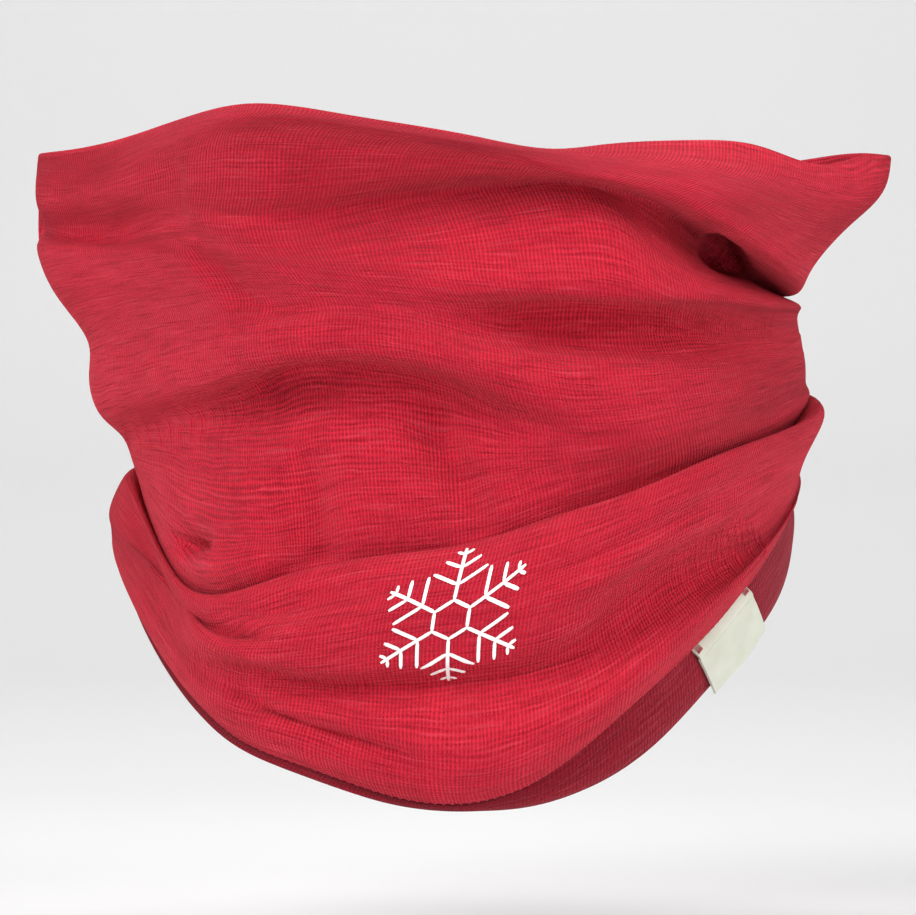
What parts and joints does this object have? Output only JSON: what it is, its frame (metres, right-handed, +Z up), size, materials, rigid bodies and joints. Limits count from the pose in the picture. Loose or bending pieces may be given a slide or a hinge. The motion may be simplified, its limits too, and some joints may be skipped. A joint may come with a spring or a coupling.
{
  "type": "neck gaiter",
  "caption": "Double-layer knitted tube worn over the nose and gathered in a soft roll round the neck, with a turned top edge, a bottom seam and a folded label.",
  "frame": {"origin": "on the axis of the neck passage, level with the lowest point of the front hem", "axes": "+Z up along the neck passage, the wearer faces -Y, and +X is the wearer's left"},
  "size_m": [0.2509, 0.1713, 0.181],
  "materials": {
    "shell_knit": "fine-gauge merino jersey, slightly fuzzy",
    "lining_knit": "brushed wrong side of the same jersey",
    "seam_knit": "rolled knitted seam",
    "red_thread": "spun polyester sewing thread",
    "label_weave": "satin-woven label",
    "label_thread": "sewing thread",
    "print_film": "soft matt transfer film"
  },
  "bodies": {
    "neck": {"shell_cowl": "shell_knit", "shell_face": "shell_knit", "lining_neck": "lining_knit", "lining_face": "lining_knit", "bottom_seam": "seam_knit", "bottom_seam_thread": "red_thread", "shell_seam_lower": "red_thread", "shell_seam_upper": "red_thread", "lining_seam_lower": "red_thread", "lining_seam_upper": "red_thread", "label_tack": "label_thread", "print_motif": "print_film"},
    "top_edge": {"top_fold": "shell_knit"},
    "label": {"woven_label": "label_weave"}
  },
  "joints": [
    {"name": "pull_down", "type": "slide", "parent": "neck", "child": "top_edge", "axis": [0, 0, -1], "range_m": [0, 0.062], "deforming": ["shell_face", "lining_face", "shell_seam_upper", "lining_seam_upper"]},
    {"name": "label_flap", "type": "hinge", "parent": "neck", "child": "label", "pos_m": [0.07257, -0.06637, 0.04492], "axis": [-0.5636, -0.5367, -0.628], "range_deg": [0, 75], "stiffness_Nm_per_rad": 0.0004}
  ]
}
